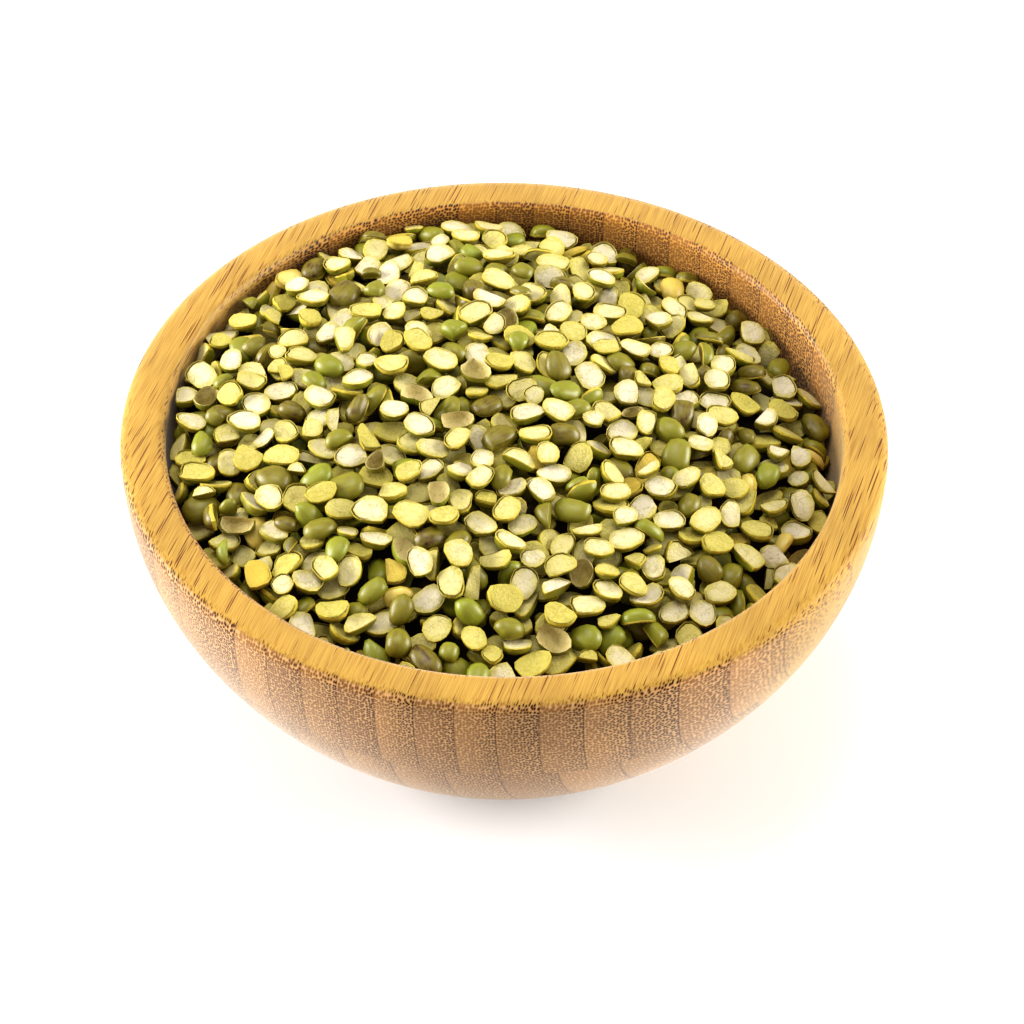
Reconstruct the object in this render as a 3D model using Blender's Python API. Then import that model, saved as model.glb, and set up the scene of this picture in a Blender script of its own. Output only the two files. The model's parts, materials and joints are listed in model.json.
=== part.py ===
"""A dish of dry lentils: a turned bowl of glued bamboo strips, heaped with split lentils in their skins.

Metres, +Z up. The origin is the centre of the bowl's base, at table level. The heap is one solid: a core
with the split lentils that show fused on.
"""

import math
import random

import bmesh
import bpy
from mathutils import Matrix, Vector, noise

# Bowl: a flat base, an outer wall widest just below the rounded rim, and a hollow turned as an arc
BOWL_HEIGHT = 0.050
BOWL_RADIUS = 0.0575
BASE_RADIUS = 0.0276
WIDEST_BELOW_RIM = 0.0014
OUTER_BULGE = 2.07
OUTER_SQUARENESS = 1.06
BASE_RING_CROWDING = 1.2
RIM_TOP_RADII = (0.0521, 0.0540)
RIM_INNER_RADIUS = 0.0515
RIM_FILLET = 0.0005
INNER_ARC_RADIUS = 0.0390
INNER_ARC_CENTRE = (0.0120, BOWL_HEIGHT - 0.0020)
BOWL_SEGMENTS = 60
OUTER_RINGS = 8
INNER_RINGS = 6
ROUNDING_RINGS = 3

# Heap: filled to below the rim, higher on the left and at the back, with a low dome and lumps
DISH_GAP = 0.0004
FILL_DEPTH = 0.0046
FILL_SLOPE = Vector((-0.068, 0.020))
DOME_RISE = 0.0085
DOME_POWER = 2.3
CORE_BELOW_GRAINS = 0.0009
LUMP_HEIGHT = 0.0009
LUMPS_PER_METRE = 75
CORE_SEGMENTS = 30
CORE_RINGS = 6
UNDERSIDE_RINGS = 5

# Split lentils: true size, few sides
GRAIN_COUNT = 242
GRAIN_SIDES = 7
GRAIN_LENGTHS = (0.0047, 0.0057)
GRAIN_WIDTH_SHARE = (0.70, 0.80)
GRAIN_THICKNESSES = (0.0017, 0.0021)
SHOULDER_WIDTH = 0.74
SHOULDER_HEIGHT = 0.70
CUT_FACE_UP_SHARE = 0.58
USUAL_TILT = 24
STEEP_TILT = 62
STEEP_SHARE = 0.14
GRAIN_SINK = 0.22
GRAIN_STRAY = 0.0024
INWARD_TRIES = 6
SEED = 7

GOLDEN_ANGLE = math.pi * (3 - math.sqrt(5))
SLOPE_STEP = 0.002
MERGE_WITHIN = 1e-6

# Finishes, as linear colours
BAMBOO_COLOUR = (0.66, 0.40, 0.14)
BAMBOO_ROUGHNESS = 0.4
LENTIL_COLOUR = (0.50, 0.47, 0.16)
LENTIL_ROUGHNESS = 0.5
BOWL_SHARP_ANGLE = 35
LENTIL_SHARP_ANGLE = 30


def clear_scene():
    for obj in list(bpy.data.objects):
        bpy.data.objects.remove(obj)


def make_material(name, colour, roughness):
    material = bpy.data.materials.new(name)
    material.use_nodes = True
    shader = material.node_tree.nodes["Principled BSDF"]
    shader.inputs["Base Color"].default_value = (*colour, 1)
    shader.inputs["Roughness"].default_value = roughness
    shader.inputs["Metallic"].default_value = 0
    return material


def outer_radius(z):
    """Radius of the bowl's outer wall at height z, from the base up to its widest ring."""
    t = min(z / (BOWL_HEIGHT - WIDEST_BELOW_RIM), 1)
    swell = (1 - (1 - t) ** OUTER_BULGE) ** (1 / OUTER_SQUARENESS)
    return BASE_RADIUS + (BOWL_RADIUS - BASE_RADIUS) * swell


def inner_radius(z, gap=0.0):
    """Radius of the bowl's inner wall at height z, taken in by a gap."""
    centre_r, centre_z = INNER_ARC_CENTRE
    drop = max(centre_z - z, 0)
    reach = INNER_ARC_RADIUS - gap
    return centre_r + math.sqrt(max(reach**2 - drop**2, 0))


def bowl_profile():
    """The wall's outline from the middle of the base, up the outside, over the rim and down to the floor."""
    points = [(0, 0)]
    widest_z = BOWL_HEIGHT - WIDEST_BELOW_RIM
    for i in range(OUTER_RINGS + 1):
        z = widest_z * (i / OUTER_RINGS) ** BASE_RING_CROWDING
        points.append((outer_radius(z), z))
    rim_inner, rim_outer = RIM_TOP_RADII
    for i in range(1, ROUNDING_RINGS + 1):
        turn = math.pi / 2 * i / ROUNDING_RINGS
        r = rim_outer + (BOWL_RADIUS - rim_outer) * math.cos(turn)
        points.append((r, widest_z + WIDEST_BELOW_RIM * math.sin(turn)))
    points.append((rim_inner, BOWL_HEIGHT))
    points.append((RIM_INNER_RADIUS, BOWL_HEIGHT - RIM_FILLET))
    centre_r, centre_z = INNER_ARC_CENTRE
    for i in range(INNER_RINGS + 1):
        turn = math.pi / 2 * i / INNER_RINGS
        r = centre_r + INNER_ARC_RADIUS * math.cos(turn)
        points.append((r, centre_z - INNER_ARC_RADIUS * math.sin(turn)))
    points.append((0, centre_z - INNER_ARC_RADIUS))
    return points


def turned(name, profile, segments):
    """A solid turned about Z from an outline that starts and ends on the axis."""
    bm = bmesh.new()
    verts = [bm.verts.new((r, 0, z)) for r, z in profile]
    edges = [bm.edges.new(pair) for pair in zip(verts, verts[1:])]
    bmesh.ops.spin(
        bm,
        geom=verts + edges,
        cent=(0, 0, 0),
        axis=(0, 0, 1),
        angle=2 * math.pi,
        steps=segments,
        use_merge=True,
    )
    bmesh.ops.remove_doubles(bm, verts=bm.verts, dist=MERGE_WITHIN)
    bmesh.ops.recalc_face_normals(bm, faces=bm.faces)
    return object_from(bm, name)


def object_from(bm, name):
    mesh = bpy.data.meshes.new(name)
    bm.to_mesh(mesh)
    bm.free()
    obj = bpy.data.objects.new(name, mesh)
    bpy.context.scene.collection.objects.link(obj)
    return obj


def shade(obj, material, sharp_angle):
    obj.data.materials.clear()
    obj.data.materials.append(material)
    obj.data.shade_smooth()
    obj.data.set_sharp_from_angle(angle=math.radians(sharp_angle))


def grain_level(x, y):
    """Height of the heap's surface: a sloping fill with a low dome and lumps on it."""
    r = math.hypot(x, y) / inner_radius(BOWL_HEIGHT)
    level = BOWL_HEIGHT - FILL_DEPTH + FILL_SLOPE.dot(Vector((x, y)))
    dome = DOME_RISE * (1 - min(r, 1) ** DOME_POWER)
    lump = noise.noise(Vector((x, y, 0)) * LUMPS_PER_METRE) * LUMP_HEIGHT
    return level + dome + lump


def grain_normal(x, y):
    step = SLOPE_STEP
    slope_x = (grain_level(x + step, y) - grain_level(x - step, y)) / (2 * step)
    slope_y = (grain_level(x, y + step) - grain_level(x, y - step)) / (2 * step)
    return Vector((-slope_x, -slope_y, 1)).normalized()


def edge_height(angle):
    """Height at which the bare core meets the bowl's wall."""
    r = inner_radius(BOWL_HEIGHT)
    return grain_level(r * math.cos(angle), r * math.sin(angle)) - CORE_BELOW_GRAINS


def underside_point(share, angle):
    """A point under the heap, just inside the bowl: from the floor at share 0 to the heap's edge at 1."""
    centre_r, centre_z = INNER_ARC_CENTRE
    floor_z = centre_z - INNER_ARC_RADIUS + DISH_GAP
    z = floor_z + (edge_height(angle) - floor_z) * share**2
    r = inner_radius(z, DISH_GAP) if share else centre_r
    return r * math.cos(angle), r * math.sin(angle), z


def top_point(share, angle):
    """A point on the core's top: share 1 is the heap's edge and 0 its middle."""
    edge_z = edge_height(angle)
    r = inner_radius(edge_z, DISH_GAP) * share
    x, y = r * math.cos(angle), r * math.sin(angle)
    return x, y, edge_z if share == 1 else grain_level(x, y) - CORE_BELOW_GRAINS


def make_core():
    """The body of the heap: the bowl's hollow less a thin gap, under a lumpy top that starts at the wall."""
    bm = bmesh.new()
    turns = [2 * math.pi * j / CORE_SEGMENTS for j in range(CORE_SEGMENTS)]
    rings = []
    for i in range(UNDERSIDE_RINGS):
        rings.append([bm.verts.new(underside_point(i / UNDERSIDE_RINGS, turn)) for turn in turns])
    for i in range(CORE_RINGS):
        rings.append([bm.verts.new(top_point(1 - i / CORE_RINGS, turn)) for turn in turns])
    bm.faces.new(rings[0])
    for lower, upper in zip(rings, rings[1:]):
        for j in range(CORE_SEGMENTS):
            bm.faces.new((lower[j - 1], lower[j], upper[j], upper[j - 1]))
    middle = bm.faces.new(rings[-1])
    bmesh.ops.poke(bm, faces=[middle])
    bmesh.ops.triangulate(bm, faces=bm.faces)
    bmesh.ops.recalc_face_normals(bm, faces=bm.faces)
    return object_from(bm, "lentils")


def half_lentil(name, length, width, thickness):
    """A split lentil: a flat oval cut face below and a low dome above."""
    bm = bmesh.new()
    bmesh.ops.create_circle(bm, cap_ends=True, segments=GRAIN_SIDES, radius=0.5)
    grown = bmesh.ops.extrude_face_region(bm, geom=list(bm.faces))
    shoulder = [item for item in grown["geom"] if isinstance(item, bmesh.types.BMVert)]
    tops = [item for item in grown["geom"] if isinstance(item, bmesh.types.BMFace)]
    bmesh.ops.scale(bm, vec=(SHOULDER_WIDTH, SHOULDER_WIDTH, 1), verts=shoulder)
    bmesh.ops.translate(bm, vec=(0, 0, SHOULDER_HEIGHT), verts=shoulder)
    bmesh.ops.poke(bm, faces=tops, offset=1 - SHOULDER_HEIGHT)
    bmesh.ops.scale(bm, vec=(length, width, thickness), verts=bm.verts)
    bmesh.ops.recalc_face_normals(bm, faces=bm.faces)
    return object_from(bm, name)


def past_the_wall(points):
    """How far the worst point lies past the bowl's wall, negative where all are clear."""
    return max(math.hypot(p.x, p.y) - inner_radius(p.z, DISH_GAP) for p in points)


def lay_grain(grain, x, y, rng):
    """Lays one half on the surface, cut face up or down, and moves it in where it would cross the dish."""
    thickness = grain.dimensions.z
    steep = rng.random() < STEEP_SHARE
    tilts = (USUAL_TILT, STEEP_TILT) if steep else (0, USUAL_TILT)
    tip = Matrix.Rotation(math.radians(rng.uniform(*tilts)), 4, "X")
    heading = Matrix.Rotation(rng.uniform(0, 2 * math.pi), 4, "Z")
    turn = Matrix.Rotation(rng.uniform(0, 2 * math.pi), 4, "Z")
    cut_face_up = rng.random() < CUT_FACE_UP_SHARE
    flip = Matrix.Rotation(math.pi if cut_face_up else 0, 4, "X")
    middle = Matrix.Translation((0, 0, -thickness / 2))
    place = Vector((x, y, 0))
    for _ in range(INWARD_TRIES):
        normal = grain_normal(place.x, place.y)
        lean = Vector((0, 0, 1)).rotation_difference(normal).to_matrix().to_4x4()
        place.z = grain_level(place.x, place.y) - GRAIN_SINK * thickness
        grain.matrix_world = Matrix.Translation(place) @ lean @ heading @ tip @ turn @ flip @ middle
        past = past_the_wall([grain.matrix_world @ v.co for v in grain.data.vertices])
        if past <= 0:
            return True
        inward = Vector((place.x, place.y, 0)).normalized()
        place -= inward * (past + MERGE_WITHIN)
    return False


def make_grains(rng):
    """The halves that show, spread evenly by the golden angle, as loose objects in one collection."""
    grains = bpy.data.collections.new("grains")
    reach = inner_radius(BOWL_HEIGHT) - GRAIN_STRAY
    for i in range(GRAIN_COUNT):
        r = reach * math.sqrt((i + 0.5) / GRAIN_COUNT)
        angle = i * GOLDEN_ANGLE + rng.uniform(-GRAIN_STRAY, GRAIN_STRAY) / r
        length = rng.uniform(*GRAIN_LENGTHS)
        width = length * rng.uniform(*GRAIN_WIDTH_SHARE)
        grain = half_lentil(f"grain_{i}", length, width, rng.uniform(*GRAIN_THICKNESSES))
        if lay_grain(grain, r * math.cos(angle), r * math.sin(angle), rng):
            bpy.context.scene.collection.objects.unlink(grain)
            grains.objects.link(grain)
        else:
            bpy.data.objects.remove(grain)
    return grains


def fuse(core, grains):
    """Joins the grains to the core in one Boolean union and removes the loose ones."""
    bpy.context.scene.collection.children.link(grains)
    union = core.modifiers.new("fuse", "BOOLEAN")
    union.operation = "UNION"
    union.operand_type = "COLLECTION"
    union.collection = grains
    union.solver = "EXACT"
    bpy.context.view_layer.update()
    graph = bpy.context.evaluated_depsgraph_get()
    fused = bpy.data.meshes.new_from_object(core.evaluated_get(graph))
    core.modifiers.remove(union)
    core.data = fused
    for grain in list(grains.objects):
        bpy.data.objects.remove(grain)
    bpy.data.collections.remove(grains)


def shells_of(bm):
    """The separate shells of a mesh, each as a list of its faces."""
    unseen = set(bm.faces)
    shells = []
    while unseen:
        front = [unseen.pop()]
        shell = []
        while front:
            face = front.pop()
            shell.append(face)
            for edge in face.edges:
                for other in edge.link_faces:
                    if other in unseen:
                        unseen.remove(other)
                        front.append(other)
        shells.append(shell)
    return shells


def keep_outer_shell(obj):
    """Fills sealed hollows and drops loose scraps: only the largest shell stays."""
    bm = bmesh.new()
    bm.from_mesh(obj.data)
    shells = sorted(shells_of(bm), key=len)
    for shell in shells[:-1]:
        bmesh.ops.delete(bm, geom=shell, context="FACES")
    bmesh.ops.triangulate(bm, faces=bm.faces)
    bm.to_mesh(obj.data)
    bm.free()


def make_bowl():
    bowl = turned("bowl", bowl_profile(), BOWL_SEGMENTS)
    shade(bowl, make_material("bamboo", BAMBOO_COLOUR, BAMBOO_ROUGHNESS), BOWL_SHARP_ANGLE)


def make_heap():
    heap = make_core()
    fuse(heap, make_grains(random.Random(SEED)))
    keep_outer_shell(heap)
    shade(heap, make_material("split_lentil", LENTIL_COLOUR, LENTIL_ROUGHNESS), LENTIL_SHARP_ANGLE)


clear_scene()
make_bowl()
make_heap()
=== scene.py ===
"""The looks of a dish of dry split lentils: a lacquered bamboo bowl heaped with halves of green gram.

Metres, +Z up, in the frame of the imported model.
"""

import json
import math

import bmesh
import bpy
import numpy as np
from mathutils import Matrix, Vector, noise

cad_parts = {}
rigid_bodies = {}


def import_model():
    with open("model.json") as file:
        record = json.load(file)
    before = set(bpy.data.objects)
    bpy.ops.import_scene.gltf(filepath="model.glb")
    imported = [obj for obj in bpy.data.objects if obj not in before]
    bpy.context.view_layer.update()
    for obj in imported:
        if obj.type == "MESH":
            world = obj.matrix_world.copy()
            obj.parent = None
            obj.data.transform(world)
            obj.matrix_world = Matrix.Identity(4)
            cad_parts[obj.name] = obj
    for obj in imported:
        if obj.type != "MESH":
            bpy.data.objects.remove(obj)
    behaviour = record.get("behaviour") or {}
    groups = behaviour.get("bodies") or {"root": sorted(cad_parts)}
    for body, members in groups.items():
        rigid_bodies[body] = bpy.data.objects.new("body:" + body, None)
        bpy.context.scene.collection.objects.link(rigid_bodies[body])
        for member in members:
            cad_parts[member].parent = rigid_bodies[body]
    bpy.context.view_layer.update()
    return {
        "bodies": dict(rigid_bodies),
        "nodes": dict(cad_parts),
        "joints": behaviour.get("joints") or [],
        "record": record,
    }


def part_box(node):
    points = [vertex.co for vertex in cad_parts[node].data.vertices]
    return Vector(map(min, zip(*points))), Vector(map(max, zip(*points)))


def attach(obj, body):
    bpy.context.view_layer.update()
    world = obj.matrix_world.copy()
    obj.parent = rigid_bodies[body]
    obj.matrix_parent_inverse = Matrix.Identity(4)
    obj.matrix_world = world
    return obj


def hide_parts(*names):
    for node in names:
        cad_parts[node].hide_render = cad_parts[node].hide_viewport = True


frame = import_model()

MM = 0.001

# The bowl, as it is turned in the source, from the size of its node
BOWL_LOW, BOWL_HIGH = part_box("bowl")
BOWL_HEIGHT = BOWL_HIGH[2]
BOWL_RADIUS = (BOWL_HIGH[0] - BOWL_LOW[0]) / 2
BASE_RADIUS = 27.6 * MM
WIDEST_BELOW_RIM = 1.4 * MM
OUTER_BULGE = 2.07
OUTER_SQUARENESS = 1.06
RIM_TOP_RADII = (52.1 * MM, 55.3 * MM)
RIM_INNER_RADIUS = 50.7 * MM
RIM_FILLET = 1.8 * MM
INNER_ARC_RADIUS = 39.0 * MM
INNER_ARC_CENTRE = (12.0 * MM, BOWL_HEIGHT - 2.0 * MM)
BOWL_TURNS = 240
WALL_RINGS = 26
ROUNDING_RINGS = 10
HOLLOW_RINGS = 24
BOWL_SHARP_ANGLE = math.radians(40)

# The glued strips, in millimetres: their fibres run level, away from the viewer and a little to the right
FIBRE_TURN = math.radians(17.82)
STRIP_WIDTH = 5.664
STRIP_START = -0.18
LOWER_LAYER_BELOW_RIM = 17.3
LOWER_STRIP_WIDTH = 7.77
LOWER_STRIP_START = 1.15
# These pick which strips are dark and which are dotted, as they lie in the photo
UPPER_STRIP_SEED = 16809.5
LOWER_STRIP_SEED = 293.5

# The grain: spacing of the vascular bundles in millimetres, and how finely the rest of it varies
BUNDLE_SPACING = 0.42
STREAK_SPACING = 0.33
STREAK_LENGTH = 13.0
STREAK_DEPTH = 0.5
FIBRES_PER_MM = (5.5, 0.14, 5.5)
PATCHES_PER_MM = 0.35
BLOTCHES_PER_MM = 0.09

# The heap's surface in millimetres, as in the source
FILL_DEPTH = 4.6
FILL_SLOPE = (-0.068, 0.020)
DOME_RISE = 8.5
DOME_POWER = 2.3
LUMP_HEIGHT = 0.9
LUMPS_PER_MM = 0.075
HEAP_RADIUS = 51.0

# The height map on which the halves come to rest: its cells in millimetres, how many a half can cover to
# each side, a height that stands for no surface at all, and the flattest cut face reckoned with
GRID_STEP = 0.34
GRID_HALF_SPAN = 162
WINDOW = 11
NOWHERE = 1e3
LEAST_RISE = 1e-3
WALL_MARGIN = 0.05

# The loose halves, in millimetres
LOOSE_DEPTH = 5.8
HALF_LENGTH = (4.4, 5.2, 6.0)
WIDTH_SHARE = (0.70, 0.84)
THICKNESS = (1.55, 2.1)
CUT_FACE_UP_SHARE = 0.74
STEEP_SHARE = 0.44
FRAGMENT_SHARE = 0.04
FRAGMENT_SIZE = ((0.6, 0.85), (0.7, 0.95), (0.6, 0.9))
PEELED_SHARE = 0.03
LOOSE_SKIN_SHARE = 0.025
MOST_HALVES = 2600
STOP_AFTER_MISSES = 420
PROUD_OF_SURFACE = 0.7
SEED = 11

# How a half is dropped: poses tried, rounds of rolling, typical lean in degrees
EASY_DROP = (14, 3, 24)
STEEP_DROP = (4, 1, 60)
SPOTS_TRIED = 12
CLEAR_OF_WALL = 1.8
DROP_SHIFT = 0.6
ROLL_SHIFT = 0.5
ROLL_DEGREES = (2, 14)
ROLL_EASE = 0.6
WEIGHT_ABOVE_CUT = 0.375

# How many cells of a half show: up to the first it counts as buried, from the second it is pale; the fewer
# show, the darker its tone is painted, as painted shade
SEEN_CELLS = 9
FULLY_SEEN_CELLS = 100
# How far below the heap's surface halves begin to be painted darker as painted shade, over what depth, and
# how dark they get
SHADE_START = 1.4
SHADE_DEPTH = 3.0
DIMMEST_TONE = 0.25

# How unevenly the halves grew, split and broke, in shares of their radii
ANY_TURN = 6.28
MEAN_SWELL = 0.98
SQUARENESS = (2.0, 2.6)
EGG_SHAPE = 0.04
THREE_LOBES = 0.045
FIVE_LOBES = 0.028
NICKED_SHARE = 0.16
NICK_DEPTH = (0.10, 0.34)
NICK_REACH = 0.42
FLAT_SIDE = (0.62, 1.15)
FLAT_SIDE_LEFT = 0.3
BROKEN_SHARE = 0.22
BREAK_LINE = (-0.2, 0.6)
BROKEN_AWAY = 0.92
GAPE_SWING = 1.3
GAPE = (-1.3, 0.6)
CRACK_RISE = 0.15
LIP_DROP = 0.09
FACE_SIDE = 0.2
DISH = (-0.05, 0.16)
DISH_REACH_SQUARED = 0.8
BEND = (-0.16, 0.12)
BEND_LEVEL = 0.4
TWIST = (-0.14, 0.14)
WAVE = (-0.07, 0.07)
WAVES = 2.5

# The body under the loose halves, dark with painted shade
CORE_RADIUS = HEAP_RADIUS - 1.4
CORE_RINGS = 14
CORE_TURNS = 64
CORE_BELOW_LOOSE = 0.3
CORE_GAP = 0.5 * MM
CORE_WALL_STEPS = (0.35, 0.35, 1)

# How finely the halves are divided
HALF_SIDES = 14
BURIED_SIDES = 8
HALF_SHARP_ANGLE = math.radians(50)

# Rings of a half from the middle of its cut face over the edge to the dome: radius, height, skin, crack
OPEN_RINGS = (
    (0.45, 0.02, 0, 0),
    (0.83, 0.00, 0, 0),
    (0.905, 0.02, 0, 1),
    (0.98, 0.03, 0.25, 0),
    (1.00, 0.16, 0.6, 0),
    (0.93, 0.52, 1, 0),
    (0.62, 0.87, 1, 0),
)
DOMED_RINGS = (
    (0.90, 0.00, 0.2, 0),
    (1.00, 0.14, 0.75, 0),
    (0.95, 0.47, 1, 0),
    (0.78, 0.77, 1, 0),
    (0.45, 0.95, 1, 0),
)
# A buried half is skin all round, with no pale cut face: painted shade that keeps the gaps dark
BURIED_RINGS = (
    (0.90, 0.00, 1, 0),
    (1.00, 0.20, 1, 0),
    (0.66, 0.85, 1, 0),
)
SHELL_RINGS = (
    (0.42, 0.84, 0, 0),
    (0.80, 0.58, 0, 0),
    (0.93, 0.20, 0, 0),
    (0.97, 0.00, 0.5, 0),
    (1.00, 0.14, 1, 0),
    (0.93, 0.54, 1, 0),
    (0.60, 0.90, 1, 0),
)

# The pieces that ride on the body
OWN_PIECES = (
    "bamboo_bowl",
    "lentil_core",
    "halves_face_up",
    "halves_dome_up",
    "peeled_halves",
    "loose_skins",
    "buried_halves",
)

# How finely a half's face and skin vary, each half's pattern taken from a place of its own
GRITS_PER_MM = 2.4
CLOUDS_PER_MM = 0.7
CREASES_PER_MM = 0.34
SKIN_STREAKS_PER_MM = (0.35, 2.2, 2.2)
PATTERN_DRIFT = 500

# Colours of the bowl, of the halves and of the dust and painted shade between them
END_GRAIN_DARK = "#704C2B"
END_GRAIN_LIGHT = "#8F673C"
END_GRAIN_FLECK = "#C09866"
END_GRAIN_DOT = "#200A00"
INSIDE_TINT = (1.08, 0.92, 0.41)
LONG_GRAIN_DARK = "#906728"
LONG_GRAIN_LIGHT = "#AA873D"
LONG_GRAIN_STREAK = "#5C300A"
GLUE_LINE = "#8A6844"
LACQUER_BLOOM = "#FFF8EE"
CUT_FACE_STOPS = [(0.0, "#AA9D4A"), (0.25, "#BCB06C"), (0.6, "#C3B88C"), (1.0, "#C6BBA2")]
CUT_FACE_BORDER = "#ADA24A"
# Pale band along the middle of the cut face: painted highlight of a lengthwise ridge
CUT_FACE_FOLD = "#C9BFA6"
# Darker olive of the creases: painted shade in them
CUT_FACE_CREASE = "#8C8232"
BARED_SIDE = "#B6A23C"
# Near-black where the skin gapes from the cut face: painted shade in the crack
CRACK = "#35280F"
SKIN_STOPS = [
    (0.0, "#38220E"),
    (0.07, "#523F14"),
    (0.2, "#685C18"),
    (0.55, "#78721D"),
    (0.8, "#797A1F"),
    (0.96, "#7F8526"),
]
PEELED_FOLD = "#D0BC78"
PEELED_STOPS = [(0.0, "#B89E40"), (0.5, "#C6B05A"), (1.0, PEELED_FOLD)]
PEELED_SIDE = "#B09A3A"
SHELL_EDGE = "#C2B27C"
SHELL_STOPS = [(0.0, "#786830"), (0.5, "#9C8C50"), (1.0, SHELL_EDGE)]
# Near-black with dark brown specks: painted shade of the halves far down, with some dust
SHADE_AND_DUST_STOPS = [(0.35, "#20140A"), (0.65, "#3A2812")]
SPECKS_PER_METRE = 400

# The camera, fitted to the bowl's outline in a frame of 1024 pixels
FRAME_PIXELS = 1024
CAMERA_DISTANCE = 0.520
CAMERA_ELEVATION = math.radians(43.39)
CAMERA_ROLL = math.radians(0.67)
FOCAL_PIXELS = 3470
RIM_CENTRE_PIXEL = (504.6, 422.4)
SENSOR_WIDTH = 36

# The studio: a white table that glows a little, a soft bright room and three softboxes
TABLE_RADIUS = 3
TABLE_COLOUR = (0.66, 0.66, 0.66, 1)
TABLE_GLOW = 0.13
ROOM_COLOUR = (1, 0.97, 0.92, 1)
ROOM_STRENGTH = 0.62
SOFTBOX_SIZE = 0.6
SOFTBOXES = (
    ("left_softbox", (-0.85, 0.10, 0.28), (0, 0, 0.03), 18.0),
    ("right_softbox", (0.85, 0.10, 0.28), (0, 0, 0.03), 14.0),
    ("top_softbox", (-0.10, 0.15, 1.0), (0, 0, 0.04), 4.8),
)


def linear(code):
    """A linear colour with alpha from an sRGB hex code."""
    parts = [int(code[i : i + 2], 16) / 255 for i in (1, 3, 5)]
    return (*[c / 12.92 if c <= 0.04045 else ((c + 0.055) / 1.055) ** 2.4 for c in parts], 1)


def add(tree, kind, settings=None, inputs=None):
    """Adds a node with its settings and its inputs, each a value or a socket to link from.

    Map Range goes from inputs 1 and 2 to 3 and 4. Mix takes numbers in 2 and 3, vectors in 4 and 5 and
    colours in 6 and 7.
    """
    made = tree.nodes.new(kind)
    for name, value in (settings or {}).items():
        if name == "stops":
            ramp = made.color_ramp
            while len(ramp.elements) < len(value):
                ramp.elements.new(0.5)
            for element, (place, code) in zip(ramp.elements, value):
                element.position = place
                element.color = linear(code)
        else:
            setattr(made, name, value)
    for name, value in (inputs or {}).items():
        if isinstance(value, bpy.types.NodeSocket):
            tree.links.new(value, made.inputs[name])
        else:
            made.inputs[name].default_value = value
    return made


def new_material(name):
    material = bpy.data.materials.new(name)
    material.use_nodes = True
    return material, material.node_tree, material.node_tree.nodes["Principled BSDF"]


def object_from(bm, name):
    mesh = bpy.data.meshes.new(name)
    bm.to_mesh(mesh)
    bm.free()
    return linked(mesh, name)


def linked(mesh, name):
    obj = bpy.data.objects.new(name, mesh)
    bpy.context.scene.collection.objects.link(obj)
    return obj


def outer_radius(z):
    """Radius of the bowl's outer wall at height z, from the base up to its widest ring."""
    t = min(z / (BOWL_HEIGHT - WIDEST_BELOW_RIM), 1)
    swell = (1 - (1 - t) ** OUTER_BULGE) ** (1 / OUTER_SQUARENESS)
    return BASE_RADIUS + (BOWL_RADIUS - BASE_RADIUS) * swell


def bowl_profile():
    """The wall's outline: from the middle of the base, up outside, over the rim and down to the floor."""
    points = [(0, 0)]
    widest_z = BOWL_HEIGHT - WIDEST_BELOW_RIM
    for i in range(WALL_RINGS + 1):
        z = widest_z * i / WALL_RINGS
        points.append((outer_radius(z), z))
    rim_inner, rim_outer = RIM_TOP_RADII
    for i in range(1, ROUNDING_RINGS + 1):
        turn = math.pi / 2 * i / ROUNDING_RINGS
        r = rim_outer + (BOWL_RADIUS - rim_outer) * math.cos(turn)
        points.append((r, widest_z + WIDEST_BELOW_RIM * math.sin(turn)))
    for i in range(ROUNDING_RINGS + 1):
        turn = math.pi / 2 * i / ROUNDING_RINGS
        r = rim_inner - (rim_inner - RIM_INNER_RADIUS) * math.sin(turn)
        points.append((r, BOWL_HEIGHT - RIM_FILLET * (1 - math.cos(turn))))
    centre_r, centre_z = INNER_ARC_CENTRE
    for i in range(1, HOLLOW_RINGS + 1):
        turn = math.pi / 2 * i / HOLLOW_RINGS
        r = centre_r + INNER_ARC_RADIUS * math.cos(turn)
        points.append((r, centre_z - INNER_ARC_RADIUS * math.sin(turn)))
    points.append((0, centre_z - INNER_ARC_RADIUS))
    return points


def make_bowl():
    """The bowl, spun about Z from its outline."""
    bm = bmesh.new()
    verts = [bm.verts.new((r, 0, z)) for r, z in bowl_profile()]
    edges = [bm.edges.new(pair) for pair in zip(verts, verts[1:])]
    turn = {"cent": (0, 0, 0), "axis": (0, 0, 1), "angle": 2 * math.pi, "steps": BOWL_TURNS}
    bmesh.ops.spin(bm, geom=verts + edges, use_merge=True, **turn)
    bmesh.ops.remove_doubles(bm, verts=bm.verts, dist=1e-6)
    bmesh.ops.recalc_face_normals(bm, faces=bm.faces)
    bowl = object_from(bm, "bamboo_bowl")
    bowl.data.shade_smooth()
    bowl.data.set_sharp_from_angle(angle=BOWL_SHARP_ANGLE)
    bowl.data.materials.append(lacquered_bamboo())
    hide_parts("bowl")


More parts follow.
